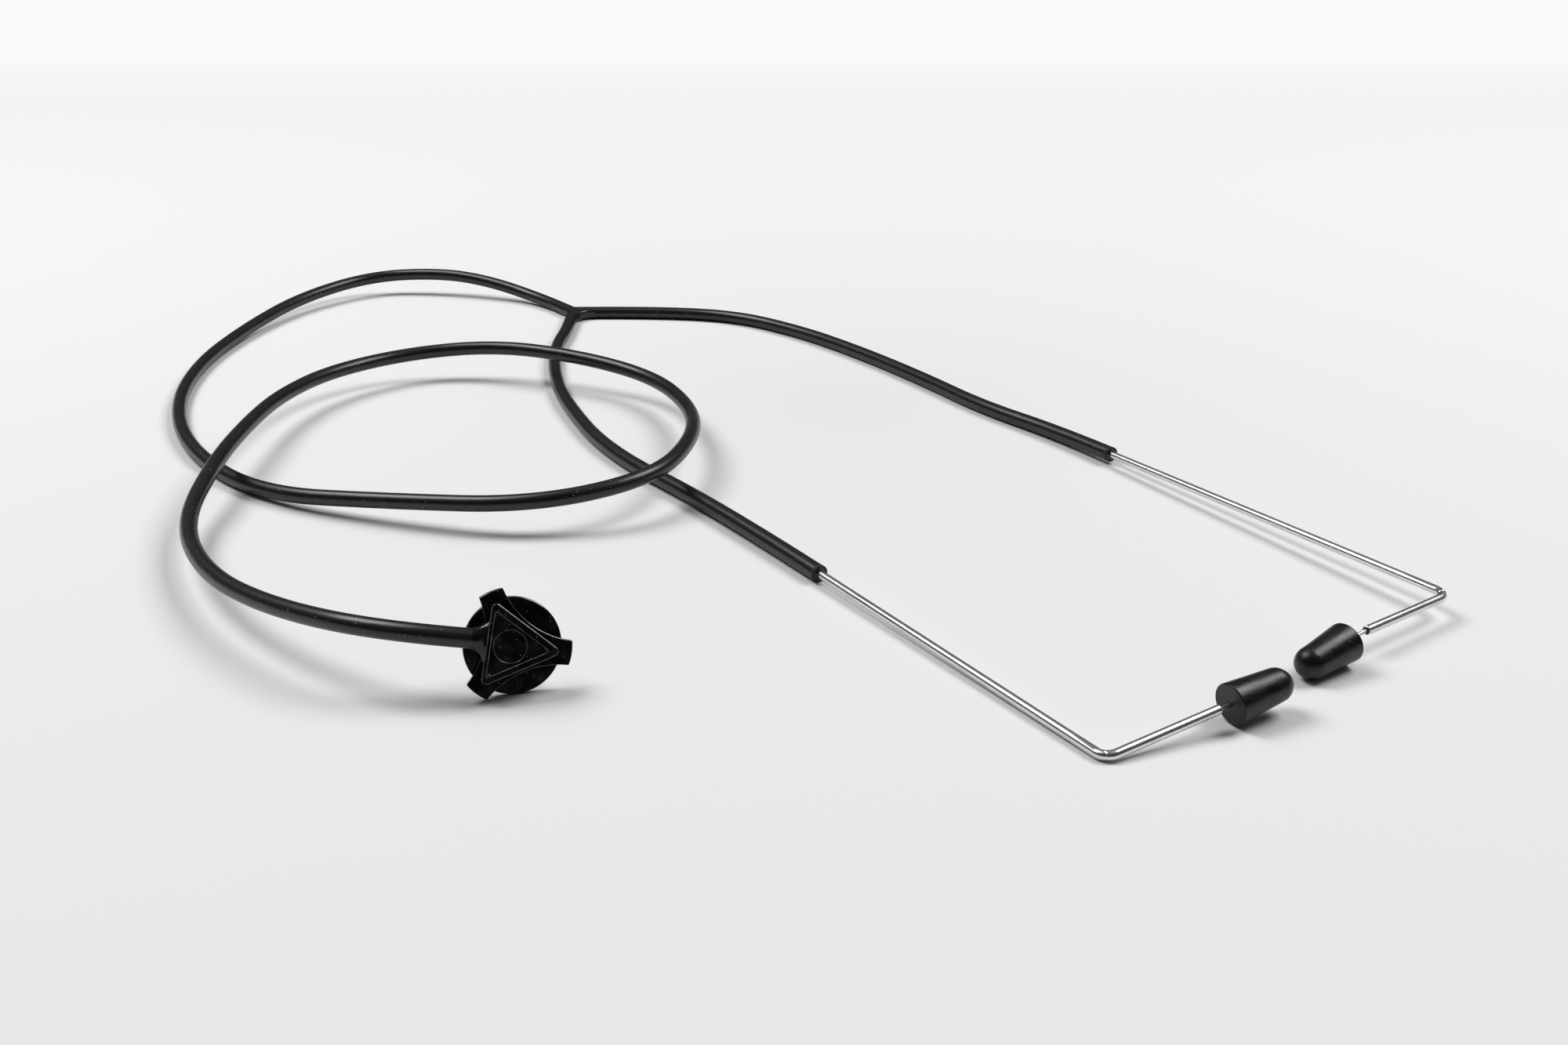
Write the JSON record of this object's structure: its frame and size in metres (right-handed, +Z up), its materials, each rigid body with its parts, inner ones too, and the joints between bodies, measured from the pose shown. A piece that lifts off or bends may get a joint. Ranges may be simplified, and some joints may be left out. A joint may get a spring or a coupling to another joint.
{
  "type": "stethoscope",
  "caption": "Light stethoscope with a thin lugged chest piece, a long looping rubber hose that forks in two, slim bent metal ear tubes and foam ear plugs.",
  "frame": {"origin": "centre of the box round the chest piece and the ear tubes, on the floor that they lie on", "axes": "+X runs from the chest piece towards the bends of the ear tubes, +Y runs towards the fork of the hose, +Z is up from the floor"},
  "size_m": [0.5123, 0.527, 0.0325],
  "materials": {
    "satin_black_plastic": "satin",
    "dark_film": "gloss",
    "bright_aluminium": "polished",
    "black_sealant": "wet gloss",
    "black_rubber": "satin",
    "black_connector": "satin",
    "black_foam": "fine open foam"
  },
  "bodies": {
    "chest_and_hoses": {"chest_disc": "satin_black_plastic", "diaphragm": "dark_film", "diaphragm_ring": "satin_black_plastic", "lug_plate": "satin_black_plastic", "hose_boss": "satin_black_plastic", "boss_lid": "satin_black_plastic", "port_tube": "bright_aluminium", "sealant": "black_sealant", "main_hose": "black_rubber", "left_hose": "black_rubber", "right_hose": "black_rubber", "y_connector": "black_connector", "stub_main": "bright_aluminium", "stub_left": "bright_aluminium", "stub_right": "bright_aluminium"},
    "left_ear_piece": {"left_ear_tube": "bright_aluminium", "left_bush": "black_sealant"},
    "right_ear_piece": {"right_ear_tube": "bright_aluminium", "right_bush": "black_sealant"},
    "left_tip": {"left_stem": "bright_aluminium", "left_plug": "black_foam"},
    "right_tip": {"right_stem": "bright_aluminium", "right_plug": "black_foam"}
  },
  "joints": [
    {"name": "left_tube_twist", "type": "hinge", "parent": "chest_and_hoses", "child": "left_ear_piece", "pos_m": [-0.047, -0.00387, 0.00317], "axis": [0.5356, -0.8444, -0.0106], "continuous": true},
    {"name": "right_tube_twist", "type": "hinge", "parent": "chest_and_hoses", "child": "right_ear_piece", "pos_m": [0.0772, 0.1149, 0.00436], "axis": [0.5059, -0.8623, 0.0201], "continuous": true},
    {"name": "left_tip_slide", "type": "slide", "parent": "left_ear_piece", "child": "left_tip", "axis": [0.8737, 0.4723, 0.1165], "range_m": [-0.0026, 0.0015]},
    {"name": "right_tip_slide", "type": "slide", "parent": "right_ear_piece", "child": "right_tip", "axis": [-0.7945, -0.6071, 0.0128], "range_m": [-0.003, 0.0015]}
  ]
}
